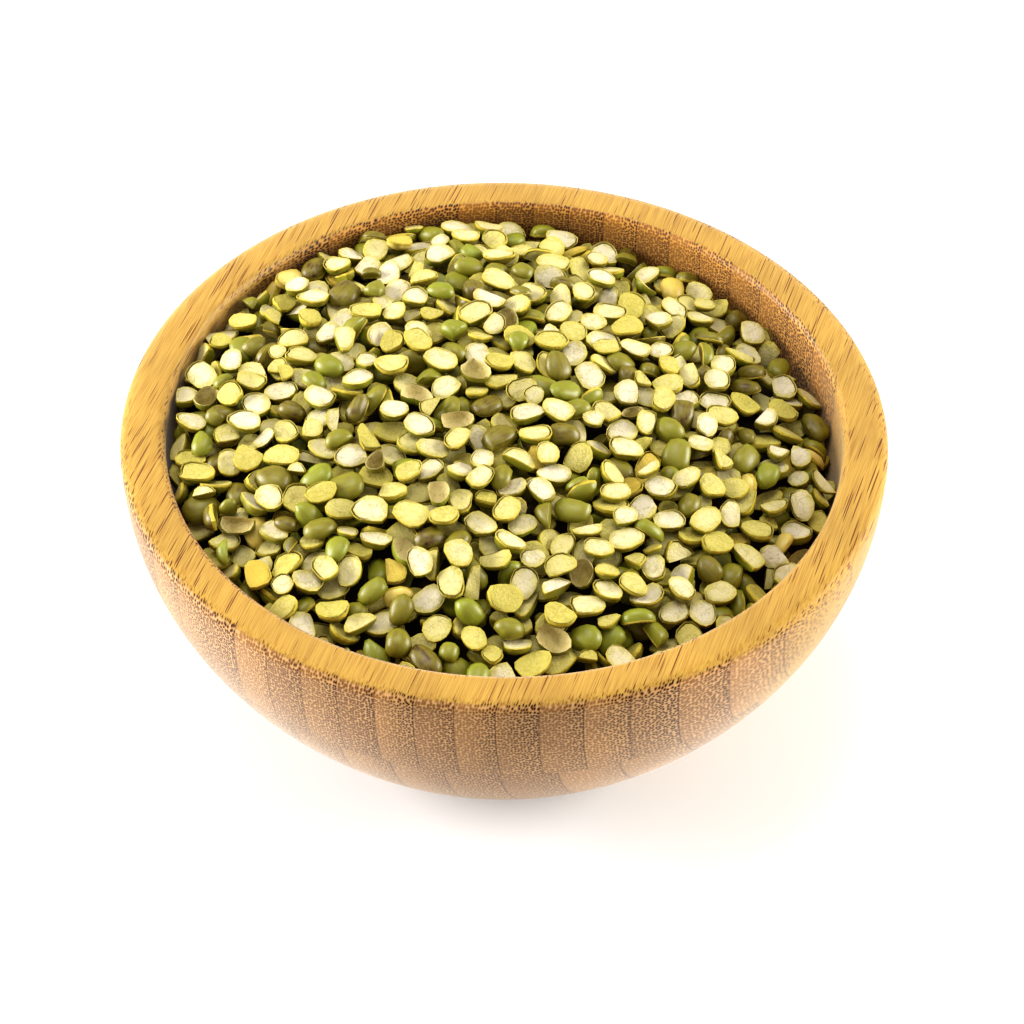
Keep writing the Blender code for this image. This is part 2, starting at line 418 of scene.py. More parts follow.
def lacquered_bamboo():
    """Laminated bamboo, turned and lacquered: streaked gold along the fibres, dotted brown across."""
    material, tree, shader = new_material("lacquered_bamboo")
    place = add(tree, "ShaderNodeTexCoord")
    along = add(
        tree,
        "ShaderNodeMapping",
        None,
        {
            "Vector": place.outputs["Object"],
            "Rotation": (0, 0, FIBRE_TURN),
            "Scale": (1 / MM, 1 / MM, 1 / MM),
            "Location": (-STRIP_START, 0, -BOWL_HEIGHT / MM),
        },
    )
    split = add(tree, "ShaderNodeSeparateXYZ", None, {0: along.outputs[0]})
    across, depth = split.outputs[0], split.outputs[2]
    lower = add(tree, "ShaderNodeMath", {"operation": "LESS_THAN"}, {0: depth, 1: -LOWER_LAYER_BELOW_RIM})
    upper_strip = add(tree, "ShaderNodeMath", {"operation": "DIVIDE"}, {0: across, 1: STRIP_WIDTH})
    moved = add(tree, "ShaderNodeMath", {"operation": "SUBTRACT"}, {0: across, 1: LOWER_STRIP_START})
    lower_strip = add(
        tree,
        "ShaderNodeMath",
        {"operation": "DIVIDE"},
        {0: moved.outputs[0], 1: LOWER_STRIP_WIDTH},
    )
    strip = add(
        tree,
        "ShaderNodeMix",
        None,
        {0: lower.outputs[0], 2: upper_strip.outputs[0], 3: lower_strip.outputs[0]},
    )
    index = add(tree, "ShaderNodeMath", {"operation": "FLOOR"}, {0: strip.outputs[0]})
    side = add(tree, "ShaderNodeMath", {"operation": "FRACT"}, {0: strip.outputs[0]})
    seed = add(
        tree,
        "ShaderNodeMix",
        None,
        {0: lower.outputs[0], 2: UPPER_STRIP_SEED, 3: LOWER_STRIP_SEED},
    )
    keyed = add(tree, "ShaderNodeMath", {"operation": "ADD"}, {0: index.outputs[0], 1: seed.outputs[0]})
    drawn = add(tree, "ShaderNodeTexWhiteNoise", {"noise_dimensions": "1D"}, {"W": keyed.outputs[0]})
    strip_traits = add(tree, "ShaderNodeSeparateXYZ", None, {0: drawn.outputs["Color"]})

    # Vascular bundles: dots where the surface cuts them, broken streaks where it runs along them
    upright = add(tree, "ShaderNodeCombineXYZ", None, {0: across, 1: depth})
    ends = add(
        tree,
        "ShaderNodeTexVoronoi",
        {"voronoi_dimensions": "2D"},
        {"Vector": upright.outputs[0], "Scale": 1 / BUNDLE_SPACING, "Randomness": 0.7},
    )
    drawn_out = add(
        tree,
        "ShaderNodeVectorMath",
        {"operation": "MULTIPLY"},
        {0: along.outputs[0], 1: (1 / STREAK_SPACING, 1 / STREAK_LENGTH, 1 / STREAK_DEPTH)},
    )
    runs = add(tree, "ShaderNodeTexVoronoi", None, {"Vector": drawn_out.outputs[0], "Scale": 1})
    patchy = add(
        tree,
        "ShaderNodeTexNoise",
        None,
        {"Vector": along.outputs[0], "Scale": PATCHES_PER_MM, "Detail": 2},
    )

    # They crowd towards the side of each strip that was the culm's outside
    crowd = add(tree, "ShaderNodeMath", {"operation": "POWER"}, {0: side.outputs[0], 1: 1.5})
    crowd_here = add(
        tree,
        "ShaderNodeMath",
        {"operation": "MULTIPLY_ADD"},
        {0: patchy.outputs["Fac"], 1: 0.7, 2: crowd.outputs[0]},
    )
    crowd_by_strip = add(
        tree,
        "ShaderNodeMath",
        {"operation": "MULTIPLY_ADD"},
        {0: strip_traits.outputs[1], 1: 0.9, 2: crowd_here.outputs[0]},
    )
    crowding = crowd_by_strip.outputs[0]
    dot_size = add(tree, "ShaderNodeMapRange", None, {0: crowding, 1: 0.6, 2: 1.9, 3: 0.16, 4: 0.34})
    dot_core = add(tree, "ShaderNodeMath", {"operation": "MULTIPLY"}, {0: dot_size.outputs[0], 1: 0.76})
    dots = add(
        tree,
        "ShaderNodeMapRange",
        {"interpolation_type": "SMOOTHSTEP"},
        {0: ends.outputs["Distance"], 1: dot_core.outputs[0], 2: dot_size.outputs[0], 3: 1, 4: 0},
    )
    dot_depth = add(tree, "ShaderNodeMapRange", None, {0: crowding, 1: 0.65, 2: 1.35, 3: 0.15, 4: 1})
    dark_dots = add(
        tree,
        "ShaderNodeMath",
        {"operation": "MULTIPLY"},
        {0: dots.outputs[0], 1: dot_depth.outputs[0]},
    )
    pale = add(
        tree,
        "ShaderNodeMapRange",
        {"interpolation_type": "SMOOTHSTEP"},
        {0: ends.outputs["Distance"], 1: 0.38, 2: 0.62, 3: 0, 4: 0.7},
    )
    streak_size = add(
        tree,
        "ShaderNodeMath",
        {"operation": "MULTIPLY"},
        {0: dot_size.outputs[0], 1: 1.05},
    )
    streaks = add(
        tree,
        "ShaderNodeMapRange",
        {"interpolation_type": "SMOOTHSTEP"},
        {0: runs.outputs["Distance"], 1: dot_core.outputs[0], 2: streak_size.outputs[0], 3: 1, 4: 0},
    )
    streak_depth = add(tree, "ShaderNodeMapRange", None, {0: crowding, 1: 0.5, 2: 1.3, 3: 0.35, 4: 1})
    dark_streaks = add(
        tree,
        "ShaderNodeMath",
        {"operation": "MULTIPLY"},
        {0: streaks.outputs[0], 1: streak_depth.outputs[0]},
    )

    # Across the fibres: brown, with dark dots and pale flecks between them
    end_base = add(
        tree,
        "ShaderNodeValToRGB",
        {"stops": [(0.1, END_GRAIN_DARK), (0.9, END_GRAIN_LIGHT)]},
        {0: strip_traits.outputs[0]},
    )
    end_pale = add(
        tree,
        "ShaderNodeMix",
        {"data_type": "RGBA"},
        {0: pale.outputs[0], 6: end_base.outputs[0], 7: linear(END_GRAIN_FLECK)},
    )
    end_plain = add(
        tree,
        "ShaderNodeMix",
        {"data_type": "RGBA"},
        {0: dark_dots.outputs[0], 6: end_pale.outputs[2], 7: linear(END_GRAIN_DOT)},
    )

    # The hollow is warmer in colour than the outside
    from_axis = add(
        tree,
        "ShaderNodeVectorMath",
        {"operation": "MULTIPLY"},
        {0: place.outputs["Object"], 1: (1 / BOWL_RADIUS, 1 / BOWL_RADIUS, 0)},
    )
    outward = add(
        tree,
        "ShaderNodeVectorMath",
        {"operation": "DOT_PRODUCT"},
        {0: place.outputs["Normal"], 1: from_axis.outputs[0]},
    )
    inside = add(
        tree,
        "ShaderNodeMapRange",
        None,
        {0: outward.outputs["Value"], 1: -0.5, 2: -0.1, 3: 1, 4: 0},
    )
    tint = add(
        tree,
        "ShaderNodeMix",
        {"data_type": "VECTOR"},
        {0: inside.outputs[0], 4: (1, 1, 1), 5: INSIDE_TINT},
    )
    end_grain = add(
        tree,
        "ShaderNodeVectorMath",
        {"operation": "MULTIPLY"},
        {0: end_plain.outputs[2], 1: tint.outputs[1]},
    )

    # Along them: gold, with fine fibre and darker streaks
    fibre_scale = add(
        tree,
        "ShaderNodeVectorMath",
        {"operation": "MULTIPLY"},
        {0: along.outputs[0], 1: FIBRES_PER_MM},
    )
    fibre = add(
        tree,
        "ShaderNodeTexNoise",
        None,
        {"Vector": fibre_scale.outputs[0], "Scale": 1, "Detail": 3},
    )
    long_base = add(
        tree,
        "ShaderNodeValToRGB",
        {"stops": [(0.28, LONG_GRAIN_DARK), (0.62, LONG_GRAIN_LIGHT)]},
        {0: fibre.outputs["Fac"]},
    )
    long_grain = add(
        tree,
        "ShaderNodeMix",
        {"data_type": "RGBA"},
        {0: dark_streaks.outputs[0], 6: long_base.outputs[0], 7: linear(LONG_GRAIN_STREAK)},
    )

    # Which of the two the surface shows depends on how squarely it cuts the fibres
    fibre_way = (math.sin(FIBRE_TURN), math.cos(FIBRE_TURN), 0)
    facing = add(
        tree,
        "ShaderNodeVectorMath",
        {"operation": "DOT_PRODUCT"},
        {0: place.outputs["Normal"], 1: fibre_way},
    )
    squarely = add(tree, "ShaderNodeMath", {"operation": "ABSOLUTE"}, {0: facing.outputs["Value"]})
    ragged = add(
        tree,
        "ShaderNodeMath",
        {"operation": "MULTIPLY_ADD"},
        {0: dots.outputs[0], 1: 0.14, 2: squarely.outputs[0]},
    )
    endness = add(
        tree,
        "ShaderNodeMapRange",
        {"interpolation_type": "SMOOTHSTEP"},
        {0: ragged.outputs[0], 1: 0.32, 2: 0.58},
    )
    grain = add(
        tree,
        "ShaderNodeMix",
        {"data_type": "RGBA"},
        {0: endness.outputs[0], 6: long_grain.outputs[2], 7: end_grain.outputs[0]},
    )

    # Glue lines between strips and between the two layers
    from_seam = add(tree, "ShaderNodeMath", {"operation": "PINGPONG"}, {0: strip.outputs[0], 1: 0.5})
    seam = add(
        tree,
        "ShaderNodeMapRange",
        None,
        {0: from_seam.outputs[0], 1: 0.0, 2: 0.025, 3: 0.8, 4: 0},
    )
    seen_seam = add(tree, "ShaderNodeMapRange", None, {0: endness.outputs[0], 3: 0.35, 4: 1})
    cut_seam = add(
        tree,
        "ShaderNodeMath",
        {"operation": "MULTIPLY"},
        {0: seam.outputs[0], 1: seen_seam.outputs[0]},
    )
    below = add(tree, "ShaderNodeMath", {"operation": "ADD"}, {0: depth, 1: LOWER_LAYER_BELOW_RIM})
    off_layer = add(tree, "ShaderNodeMath", {"operation": "ABSOLUTE"}, {0: below.outputs[0]})
    layer_line = add(
        tree,
        "ShaderNodeMapRange",
        None,
        {0: off_layer.outputs[0], 1: 0.0, 2: 0.14, 3: 0.45, 4: 0},
    )
    lines = add(
        tree,
        "ShaderNodeMath",
        {"operation": "MAXIMUM"},
        {0: cut_seam.outputs[0], 1: layer_line.outputs[0]},
    )
    glued = add(
        tree,
        "ShaderNodeMix",
        {"data_type": "RGBA", "blend_type": "MULTIPLY"},
        {0: lines.outputs[0], 6: grain.outputs[2], 7: linear(GLUE_LINE)},
    )
    blotch = add(
        tree,
        "ShaderNodeTexNoise",
        None,
        {"Vector": along.outputs[0], "Scale": BLOTCHES_PER_MM, "Detail": 2},
    )
    varied = add(
        tree,
        "ShaderNodeMapRange",
        None,
        {0: blotch.outputs["Fac"], 1: 0.3, 2: 0.7, 3: 0.88, 4: 1.10},
    )
    colour = add(
        tree,
        "ShaderNodeVectorMath",
        {"operation": "SCALE"},
        {0: glued.outputs[2], "Scale": varied.outputs[0]},
    )
    bump = add(
        tree,
        "ShaderNodeBump",
        None,
        {"Strength": 0.25, "Distance": 0.04 * MM, "Height": runs.outputs["Distance"]},
    )

    # Matt lacquer: a pale bloom where it is seen at a low angle, and a soft polish inside
    tree.links.new(colour.outputs[0], shader.inputs["Base Color"])
    tree.links.new(bump.outputs[0], shader.inputs["Normal"])
    shader.inputs["Roughness"].default_value = 0.45
    shader.inputs["Specular IOR Level"].default_value = 0.08
    shader.inputs["Sheen Weight"].default_value = 0.31
    shader.inputs["Sheen Tint"].default_value = linear(LACQUER_BLOOM)
    shader.inputs["Sheen Roughness"].default_value = 0.45
    polish = add(tree, "ShaderNodeMapRange", None, {0: inside.outputs[0], 3: 0.0, 4: 0.42})
    tree.links.new(polish.outputs[0], shader.inputs["Coat Weight"])
    shader.inputs["Coat Roughness"].default_value = 0.55
    return material


def grain_level(x, y):
    """Height of the heap's surface in millimetres, as in the source."""
    r = np.hypot(x, y) / HEAP_RADIUS
    level = BOWL_HEIGHT / MM - FILL_DEPTH + FILL_SLOPE[0] * x + FILL_SLOPE[1] * y
    dome = DOME_RISE * (1 - np.minimum(r, 1) ** DOME_POWER)
    spots = zip(np.ravel(x), np.ravel(y))
    lumps = [noise.noise((a * LUMPS_PER_MM, b * LUMPS_PER_MM, 0)) for a, b in spots]
    return level + dome + LUMP_HEIGHT * np.reshape(lumps, np.shape(x))


def wall_level(r):
    """Height of the bowl's inside at radius r in millimetres, or far above the rim past the wall."""
    centre_r, centre_z = (v / MM for v in INNER_ARC_CENTRE)
    reach = INNER_ARC_RADIUS / MM
    out = np.clip(r - centre_r, 0, reach)
    return np.where(r < HEAP_RADIUS - WALL_MARGIN, centre_z - np.sqrt(reach**2 - out**2), NOWHERE)


def turned_frames(rng, count, face_down, spread):
    """Random orientations: any heading, the cut face up or down, tipped by about spread degrees."""
    heading = rng.uniform(0, 2 * np.pi, count)
    lean_way = rng.uniform(0, 2 * np.pi, count)
    lean = np.radians(np.abs(rng.normal(0, spread, count)))
    spun = rotation(np.tile([0.0, 0.0, 1.0], (count, 1)), heading)
    if not face_down:
        spun = rotation(np.tile([1.0, 0.0, 0.0], (count, 1)), np.full(count, np.pi)) @ spun
    axis = np.stack([np.cos(lean_way), np.sin(lean_way), np.zeros(count)], 1)
    return rotation(axis, lean) @ spun


def rotation(axis, angle):
    """Rotation matrices about unit axes."""
    x, y, z = axis.T
    c, s = np.cos(angle), np.sin(angle)
    t = 1 - c
    rows = [
        [t * x * x + c, t * x * y - s * z, t * x * z + s * y],
        [t * x * y + s * z, t * y * y + c, t * y * z - s * x],
        [t * x * z - s * y, t * y * z + s * x, t * z * z + c],
    ]
    return np.moveaxis(np.array(rows), 2, 0)


class Pile:
    """A height map on which half ellipsoids come to rest, one after another."""

    def __init__(self, ground, surface, axis):
        self.height = ground
        self.surface = surface
        self.axis = axis
        self.owner = np.full(ground.shape, -1)

    def window(self, spot):
        """The cells round a spot that a half laid there can cover."""
        i, j = spot
        return slice(i - WINDOW, i + WINDOW + 1), slice(j - WINDOW, j + WINDOW + 1)

    def columns(self, spot, frames, shifts, size):
        """Heights, from a half's own middle, at which each cell's upright line enters and leaves it."""
        rows, cols = self.window(spot)
        x, y = np.meshgrid(self.axis[cols] - self.axis[spot[1]], self.axis[rows] - self.axis[spot[0]])
        x = x.ravel()[None] - shifts[:, :1]
        y = y.ravel()[None] - shifts[:, 1:]
        start = frames[:, 0, :, None] * x[:, None] + frames[:, 1, :, None] * y[:, None]
        way = frames[:, 2, :]
        scaled_start = start / size[None, :, None]
        scaled_way = way / size
        a = (scaled_way**2).sum(1)[:, None]
        b = (scaled_start * scaled_way[:, :, None]).sum(1)
        c = (scaled_start**2).sum(1) - 1
        disc = b * b - a * c
        root = np.sqrt(np.maximum(disc, 0))
        low, high = (-b - root) / a, (-b + root) / a
        up = way[:, 2:]
        up = np.where(np.abs(up) < LEAST_RISE, LEAST_RISE, up)
        cut = -start[:, 2] / up
        low = np.where(up > 0, np.maximum(low, cut), low)
        high = np.where(up > 0, high, np.minimum(high, cut))
        return low, high, (disc > 0) & (low < high)

    def rest(self, spot, frames, shifts, size):
        """The height at which each orientation comes to rest, and the height of its weight."""
        ground = self.height[self.window(spot)].ravel()[None]
        low, _, inside = self.columns(spot, frames, shifts, size)
        lift = np.where(inside, ground - low, -NOWHERE).max(1)
        return lift, lift + WEIGHT_ABOVE_CUT * size[2] * frames[:, 2, 2]

    def drop(self, rng, spot, size, face_down, steep):
        """Drops a half near a spot and lets it roll lower, then lays it; a steep one hardly rolls."""
        tries, rounds, spread = STEEP_DROP if steep else EASY_DROP
        frames = turned_frames(rng, tries, face_down, spread)
        shifts = rng.uniform(-DROP_SHIFT, DROP_SHIFT, (tries, 2))
        _, weight = self.rest(spot, frames, shifts, size)
        best = weight.argmin()
        frame, shift, low = frames[best], shifts[best], weight[best]
        for step in range(rounds):
            ease = ROLL_EASE**step
            lean_way = rng.uniform(0, 2 * np.pi, tries)
            axis = np.stack([np.cos(lean_way), np.sin(lean_way), np.zeros(tries)], 1)
            nudged = rotation(axis, np.radians(rng.uniform(*ROLL_DEGREES, tries)) * ease) @ frame
            moved = shift + rng.uniform(-ROLL_SHIFT, ROLL_SHIFT, (tries, 2)) * ease
            _, weights = self.rest(spot, nudged, moved, size)
            best = weights.argmin()
            if weights[best] < low:
                frame, shift, low = nudged[best], moved[best], weights[best]
        return self.lay(spot, frame, shift, size)

    def lay(self, spot, frame, shift, size):
        """Adds a half to the height map; returns its place, or None where it would stand proud."""
        here = self.window(spot)
        lift, _ = self.rest(spot, frame[None], shift[None], size)
        _, high, inside = self.columns(spot, frame[None], shift[None], size)
        top = np.where(inside, high + lift[0], -NOWHERE).reshape(self.height[here].shape)
        if lift[0] > NOWHERE / 2 or (top - self.surface[here]).max() > PROUD_OF_SURFACE:
            return None
        above = top > self.height[here]
        self.height[here] = np.where(above, top, self.height[here])
        place = (self.axis[spot[1]] + shift[0], self.axis[spot[0]] + shift[1], lift[0])
        return place, frame, above


def pile_up(rng):
    """Fills the bowl's top layer with halves until no more fit under the heap's surface."""
    axis = (np.arange(2 * GRID_HALF_SPAN + 1) - GRID_HALF_SPAN) * GRID_STEP
    x, y = np.meshgrid(axis, axis)
    surface = grain_level(x, y)
    ground = np.maximum(surface - LOOSE_DEPTH, wall_level(np.hypot(x, y)))
    pile = Pile(ground, surface, axis)
    reach = (HEAP_RADIUS - CLEAR_OF_WALL) / GRID_STEP
    halves = []
    misses = 0
    while len(halves) < MOST_HALVES and misses < STOP_AFTER_MISSES:
        length = rng.triangular(*HALF_LENGTH)
        size = np.array([length / 2, length / 2 * rng.uniform(*WIDTH_SHARE), rng.uniform(*THICKNESS)])
        if rng.random() < FRAGMENT_SHARE:
            size = size * [rng.uniform(*shares) for shares in FRAGMENT_SIZE]
        turn = rng.uniform(0, 2 * np.pi, SPOTS_TRIED)
        out = reach * np.sqrt(rng.uniform(0, 1, SPOTS_TRIED))
        spots = (GRID_HALF_SPAN + np.stack([out * np.sin(turn), out * np.cos(turn)], 1)).astype(int)
        room = (pile.surface - pile.height)[spots[:, 0], spots[:, 1]]
        spot = tuple(spots[room.argmax()])
        face_down = rng.random() > CUT_FACE_UP_SHARE
        laid = pile.drop(rng, spot, size, face_down, rng.random() < STEEP_SHARE)
        if laid is None:
            misses += 1
            continue
        misses = 0
        place, frame, above = laid
        here = pile.window(spot)
        pile.owner[here] = np.where(above, len(halves), pile.owner[here])
        halves.append((place, frame, size))
    seen = np.bincount(pile.owner[pile.owner >= 0], minlength=len(halves))
    return halves, seen


def half_master(rings, sides):
    """A half of radius and height 1, its cut face at z 0, grown ring by ring from that face's middle."""
    bm = bmesh.new()
    start = bmesh.ops.create_circle(bm, cap_ends=True, segments=sides, radius=rings[0][0])
    marks = {v: rings[0] for v in start["verts"]}
    for v in start["verts"]:
        v.co.z = rings[0][1]
    base = bm.faces[:]
    edges = bm.edges[:]
    for level in rings[1:]:
        grown = bmesh.ops.extrude_edge_only(bm, edges=edges)["geom"]
        edges = [g for g in grown if isinstance(g, bmesh.types.BMEdge)]
        for v in grown:
            if isinstance(v, bmesh.types.BMVert):
                out = Vector((v.co.x, v.co.y)).normalized() * level[0]
                v.co = (out.x, out.y, level[1])
                marks[v] = level
    cap = bmesh.ops.contextual_create(bm, geom=edges)["faces"]
    for faces, height, level in ((cap, 1, rings[-1]), (base, rings[0][1], rings[0])):
        middle = bmesh.ops.poke(bm, faces=faces)["verts"][0]
        middle.co.z = height
        marks[middle] = level
    bmesh.ops.recalc_face_normals(bm, faces=bm.faces)
    bm.verts.index_update()
    points = np.array([v.co[:] for v in bm.verts])
    faces = [[v.index for v in f.verts] for f in bm.faces]
    skin = np.array([marks[v][2] for v in bm.verts], float)
    crack = np.array([marks[v][3] for v in bm.verts], float)
    bm.free()
    return points, faces, skin, crack


def strew(name, master, halves, rng, material):
    """Joins an uneven copy of a master for each half into one mesh that carries what its finish needs."""
    points, faces, skin, crack = master
    count, corners = len(halves), len(points)
    places = np.array([h[0] for h in halves])
    frames = np.array([h[1] for h in halves])
    sizes = np.array([h[2] for h in halves])
    bared = np.array([h[3] for h in halves])
    shaped, open_crack = uneven(points, skin, crack, count, rng)
    local = shaped * sizes[:, None]
    world = np.einsum("nij,nvj->nvi", frames, local) + places[:, None]
    mesh = bpy.data.meshes.new(name)
    joined = [[i + n * corners for i in face] for n in range(count) for face in faces]
    mesh.from_pydata((world.reshape(-1, 3) * MM).tolist(), [], joined)
    drift = rng.uniform(-PATTERN_DRIFT, PATTERN_DRIFT, (count, 1, 3))
    write(mesh, "skin", "FLOAT", np.tile(skin, count))
    write(mesh, "crack", "FLOAT", open_crack)
    # Each half's tone is random, and painted darker the less of it shows and the deeper it lies: painted
    # shade
    tone = rng.random(count) * (DIMMEST_TONE + (1 - DIMMEST_TONE) * bared)
    write(mesh, "tone", "FLOAT", np.repeat(tone, corners))
    write(mesh, "ripeness", "FLOAT", np.repeat(rng.random(count), corners))
    write(mesh, "own", "FLOAT_VECTOR", local + drift)
    write(mesh, "body", "FLOAT_VECTOR", shaped)
    mesh.shade_smooth()
    mesh.set_sharp_from_angle(angle=HALF_SHARP_ANGLE)
    mesh.materials.append(material)
    piece = linked(mesh, name)
    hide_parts("lentils")


def uneven(points, skin, crack, count, rng):
    """Copies of a master's points, each with its own outline, broken side, dished face and cracks."""

    def draw(low, high):
        return rng.uniform(low, high, (count, 1))

    def often(share):
        return rng.random((count, 1)) < share

    x, y, z = (np.tile(points[:, k], (count, 1)) for k in range(3))
    turn = np.arctan2(y, x)

    # The outline: between oval and square, a little lobed, nicked on some
    squareness = draw(*SQUARENESS)
    swell = (np.abs(np.cos(turn)) ** squareness + np.abs(np.sin(turn)) ** squareness) ** (-1 / squareness)
    lobes = MEAN_SWELL + EGG_SHAPE * np.cos(turn - draw(0, ANY_TURN))
    swell *= lobes + THREE_LOBES * np.cos(3 * turn - draw(0, ANY_TURN))
    swell *= 1 + FIVE_LOBES * np.cos(5 * turn - draw(0, ANY_TURN))
    off = np.mod(turn - draw(0, ANY_TURN) + np.pi, 2 * np.pi) - np.pi
    nick = np.exp(-((off / NICK_REACH) ** 2))
    swell *= 1 - draw(*NICK_DEPTH) * often(NICKED_SHARE) * nick
    x, y = x * swell, y * swell

    # A flatter side, and on some an end that is broken off
    flat = -draw(*FLAT_SIDE)
    y = np.where(y < flat, flat + (y - flat) * FLAT_SIDE_LEFT, y)
    way = draw(0, ANY_TURN)
    along = x * np.cos(way) + y * np.sin(way)
    past = np.maximum(along - draw(*BREAK_LINE), 0) * often(BROKEN_SHARE) * BROKEN_AWAY
    x, y = x - past * np.cos(way), y - past * np.sin(way)

    # The skin gapes on one side, the cut face is dished, and the whole half is warped
    gaping = np.cos(turn - draw(0, ANY_TURN)) * GAPE_SWING + draw(*GAPE)
    open_crack = np.clip(gaping, 0, 1) * crack
    inner = (skin == 0) & (z < FACE_SIDE)
    dish = draw(*DISH) * (1 - np.minimum((x**2 + y**2) / DISH_REACH_SQUARED, 1))
    lip = (skin > 0) & (skin < 0.5) & (z < FACE_SIDE)
    z = z + inner * dish + open_crack * CRACK_RISE - lip * np.clip(gaping, 0, 1) * LIP_DROP
    warp = draw(*BEND) * (x**2 - BEND_LEVEL) + draw(*TWIST) * x * y
    warp += draw(*WAVE) * np.sin(x * WAVES + draw(0, ANY_TURN))
    return np.stack([x, y, z + warp], 2), open_crack


def write(mesh, name, kind, values):
    """Stores a value for each of a mesh's points, for its finish to read."""
    attribute = mesh.attributes.new(name, kind, "POINT")
    field = "vector" if kind == "FLOAT_VECTOR" else "value"
    attribute.data.foreach_set(field, np.ascontiguousarray(values, np.float32).ravel())


def split_pulse(name, cut_stops, border_code, fold_code, crease_code, side_code, skin_stops):
    """A dry split pulse: a mealy cut face with a paler fold, bared sides and a thin waxy streaked skin."""
    material, tree, shader = new_material(name)
    marks = {
        key: add(tree, "ShaderNodeAttribute", {"attribute_name": key})
        for key in ("skin", "crack", "tone", "ripeness", "own", "body")
    }
    own = marks["own"].outputs["Vector"]
    tone = marks["tone"].outputs["Fac"]
    fine = add(
        tree,
        "ShaderNodeTexNoise",
        None,
        {"Vector": own, "Scale": GRITS_PER_MM, "Detail": 4, "Roughness": 0.6},
    )
    broad = add(tree, "ShaderNodeTexNoise", None, {"Vector": own, "Scale": CLOUDS_PER_MM, "Detail": 2})
    grain = add(
        tree,
        "ShaderNodeMath",
        {"operation": "MULTIPLY_ADD"},
        {0: fine.outputs["Fac"], 1: 0.8, 2: -0.4},
    )
    cut_key = add(tree, "ShaderNodeMath", {"operation": "ADD"}, {0: grain.outputs[0], 1: tone})
    cut = add(tree, "ShaderNodeValToRGB", {"stops": cut_stops}, {0: cut_key.outputs[0]})

    # The pale fold that runs the length of the cut face, on some: a painted highlight along a lengthwise
    # ridge
    body = add(tree, "ShaderNodeSeparateXYZ", None, {0: marks["body"].outputs["Vector"]})
    wander = add(
        tree,
        "ShaderNodeMath",
        {"operation": "MULTIPLY_ADD"},
        {0: broad.outputs["Fac"], 1: 0.9, 2: -0.45},
    )
    off_fold = add(
        tree,
        "ShaderNodeMath",
        {"operation": "ADD"},
        {0: body.outputs[1], 1: wander.outputs[0]},
    )
    fold_way = add(tree, "ShaderNodeMath", {"operation": "ABSOLUTE"}, {0: off_fold.outputs[0]})
    fold = add(
        tree,
        "ShaderNodeMapRange",
        {"interpolation_type": "SMOOTHSTEP"},
        {0: fold_way.outputs[0], 1: 0.08, 2: 0.34, 3: 1, 4: 0},
    )
    fold_share = add(tree, "ShaderNodeMapRange", None, {0: tone, 1: 0.35, 2: 0.8, 3: 0.0, 4: 0.6})
    fold_seen = add(
        tree,
        "ShaderNodeMath",
        {"operation": "MULTIPLY"},
        {0: fold.outputs[0], 1: fold_share.outputs[0]},
    )
    folded = add(
        tree,
        "ShaderNodeMix",
        {"data_type": "RGBA"},
        {0: fold_seen.outputs[0], 6: cut.outputs[0], 7: linear(fold_code)},
    )
    flat_body = add(tree, "ShaderNodeCombineXYZ", None, {0: body.outputs[0], 1: body.outputs[1]})
    out = add(tree, "ShaderNodeVectorMath", {"operation": "LENGTH"}, {0: flat_body.outputs[0]})
    outward = add(
        tree,
        "ShaderNodeMath",
        {"operation": "MULTIPLY_ADD"},
        {0: wander.outputs[0], 1: 0.9, 2: out.outputs["Value"]},
    )
    border = add(
        tree,
        "ShaderNodeMapRange",
        {"interpolation_type": "SMOOTHSTEP"},
        {0: outward.outputs[0], 1: 0.52, 2: 0.95, 3: 0, 4: 0.68},
    )
    bordered = add(
        tree,
        "ShaderNodeMix",
        {"data_type": "RGBA"},
        {0: border.outputs[0], 6: folded.outputs[2], 7: linear(border_code)},
    )

    # Fine creases that wander over it, painted darker as painted shade in them, and pressed in by the bump
    creased = add(
        tree,
        "ShaderNodeTexNoise",
        None,
        {"Vector": own, "Scale": CREASES_PER_MM, "Detail": 3, "Roughness": 0.6},
    )
    off_crease = add(
        tree,
        "ShaderNodeMath",
        {"operation": "SUBTRACT"},
        {0: creased.outputs["Fac"], 1: 0.5},
    )
    crease_way = add(tree, "ShaderNodeMath", {"operation": "ABSOLUTE"}, {0: off_crease.outputs[0]})
    crease = add(
        tree,
        "ShaderNodeMapRange",
        None,
        {0: crease_way.outputs[0], 1: 0, 2: 0.022, 3: 0.4, 4: 0},
    )
    lined = add(
        tree,
        "ShaderNodeMix",
        {"data_type": "RGBA"},
        {0: crease.outputs[0], 6: bordered.outputs[2], 7: linear(crease_code)},
    )

    # The skin: streaked lengthwise, olive with brown or green
    streaked = add(
        tree,
        "ShaderNodeVectorMath",
        {"operation": "MULTIPLY"},
        {0: own, 1: SKIN_STREAKS_PER_MM},
    )
    streaks = add(
        tree,
        "ShaderNodeTexNoise",
        None,
        {"Vector": streaked.outputs[0], "Scale": 1, "Detail": 2},
    )
    skin_key = add(
        tree,
        "ShaderNodeMath",
        {"operation": "MULTIPLY_ADD"},
        {0: streaks.outputs["Fac"], 1: 0.5, 2: -0.25},
    )
    skin_broad = add(
        tree,
        "ShaderNodeMath",
        {"operation": "MULTIPLY_ADD"},
        {0: broad.outputs["Fac"], 1: 0.5, 2: skin_key.outputs[0]},
    )
    skin_less = add(
        tree,
        "ShaderNodeMath",
        {"operation": "SUBTRACT"},
        {0: skin_broad.outputs[0], 1: 0.25},
    )
    ripeness = add(
        tree,
        "ShaderNodeMapRange",
        None,
        {0: marks["ripeness"].outputs["Fac"], 3: 0.14, 4: 0.86},
    )
    skin_sum = add(
        tree,
        "ShaderNodeMath",
        {"operation": "ADD"},
        {0: skin_less.outputs[0], 1: ripeness.outputs[0]},
    )
    skin = add(tree, "ShaderNodeValToRGB", {"stops": skin_stops}, {0: skin_sum.outputs[0]})

